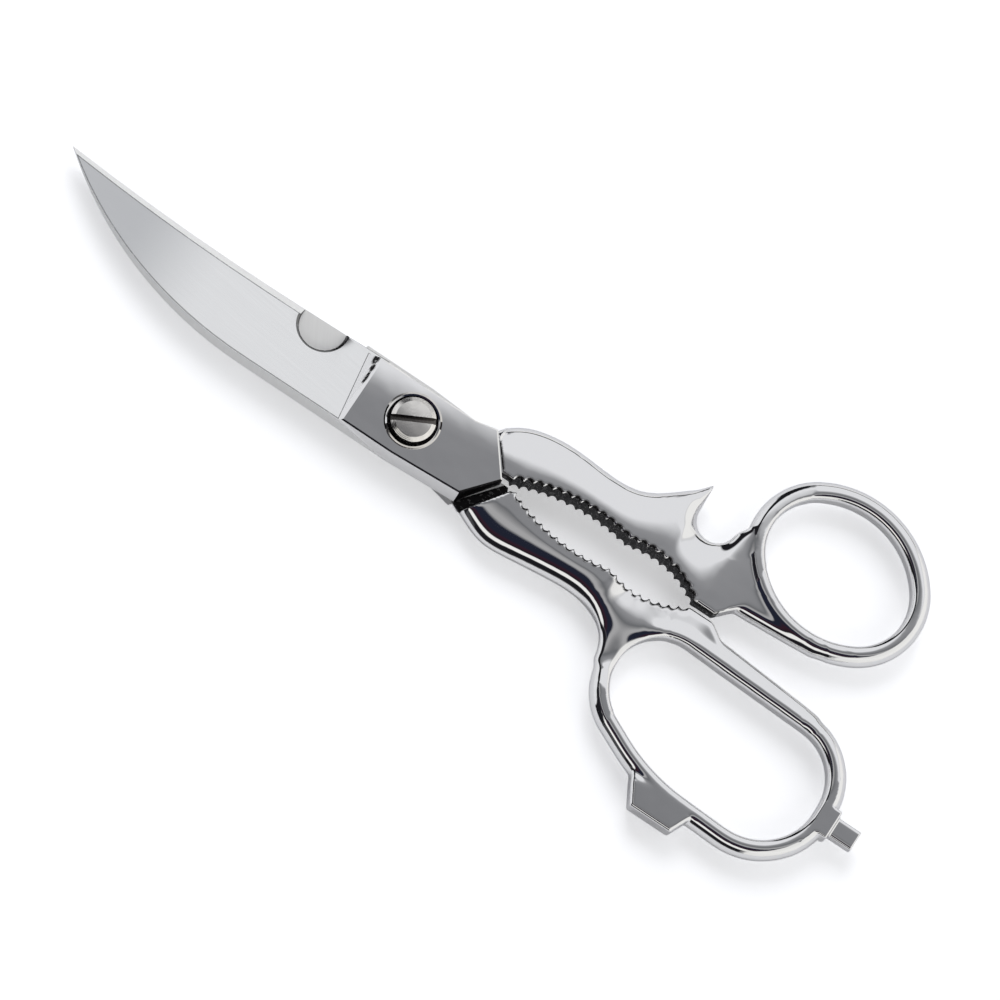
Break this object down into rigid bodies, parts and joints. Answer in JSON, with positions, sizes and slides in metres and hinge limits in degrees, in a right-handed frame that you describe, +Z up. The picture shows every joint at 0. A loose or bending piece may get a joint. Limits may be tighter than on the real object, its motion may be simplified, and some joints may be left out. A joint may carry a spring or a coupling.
{
  "type": "kitchen shears",
  "caption": "Forged kitchen shears with curved blades, bone notch, serrated nut jaws, cap lifter hook, thumb ring, long finger loop, hammer lug and screwdriver tip.",
  "frame": {"origin": "on the pivot's axis, in the plane that the closed shears lie on", "axes": "+X from the pivot to the handles, so the points are towards -X; +Y to the side of the thumb ring and the cap lifter; +Z up along the pivot, out of the screw's slotted head"},
  "size_m": [0.2099, 0.0824, 0.0103],
  "materials": {
    "nickel_plate": "nickel plated forged steel, mirror bright on the handles and satin ground on the blades",
    "screw_steel": "satin turned steel"
  },
  "bodies": {
    "finger_side": {"finger_half": "nickel_plate", "pivot_screw": "screw_steel"},
    "thumb_side": {"thumb_half": "nickel_plate"}
  },
  "joints": [
    {"name": "pivot", "type": "hinge", "parent": "finger_side", "child": "thumb_side", "pos_m": [0, 0, 0.0044], "axis": [0, 0, 1], "range_deg": [0, 50]}
  ]
}
